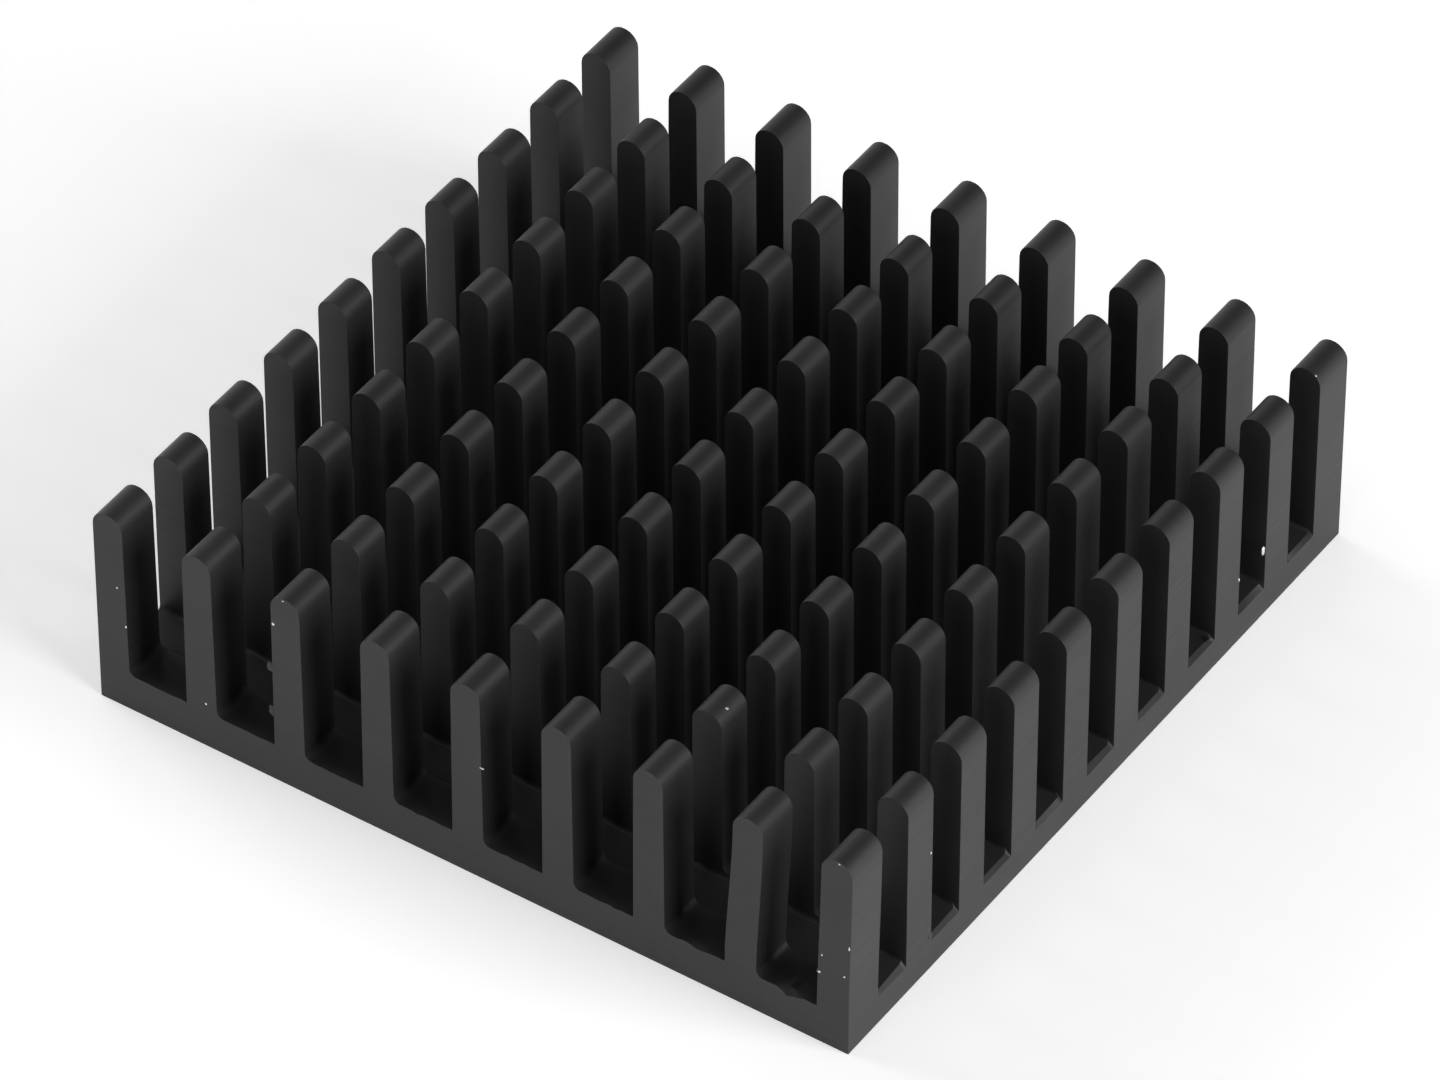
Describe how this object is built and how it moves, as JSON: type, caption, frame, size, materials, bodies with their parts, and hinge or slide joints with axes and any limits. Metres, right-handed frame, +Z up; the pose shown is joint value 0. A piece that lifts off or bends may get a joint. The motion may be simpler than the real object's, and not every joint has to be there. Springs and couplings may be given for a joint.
{
  "type": "pin fin heat sink",
  "caption": "Square black anodised aluminium heat sink: a thin base plate under a grid of straight round-crowned pins that shed the heat of a chip package.",
  "frame": {"origin": "centre of the flat underside, where the chip package touches", "axes": "+X across the fins, +Y along the extrusion, +Z up from the underside to the crowns of the pins"},
  "size_m": [0.04, 0.04, 0.0113],
  "materials": {
    "black_anodised_aluminium": "satin"
  },
  "bodies": {
    "root": {"heat_sink": "black_anodised_aluminium"}
  },
  "joints": []
}
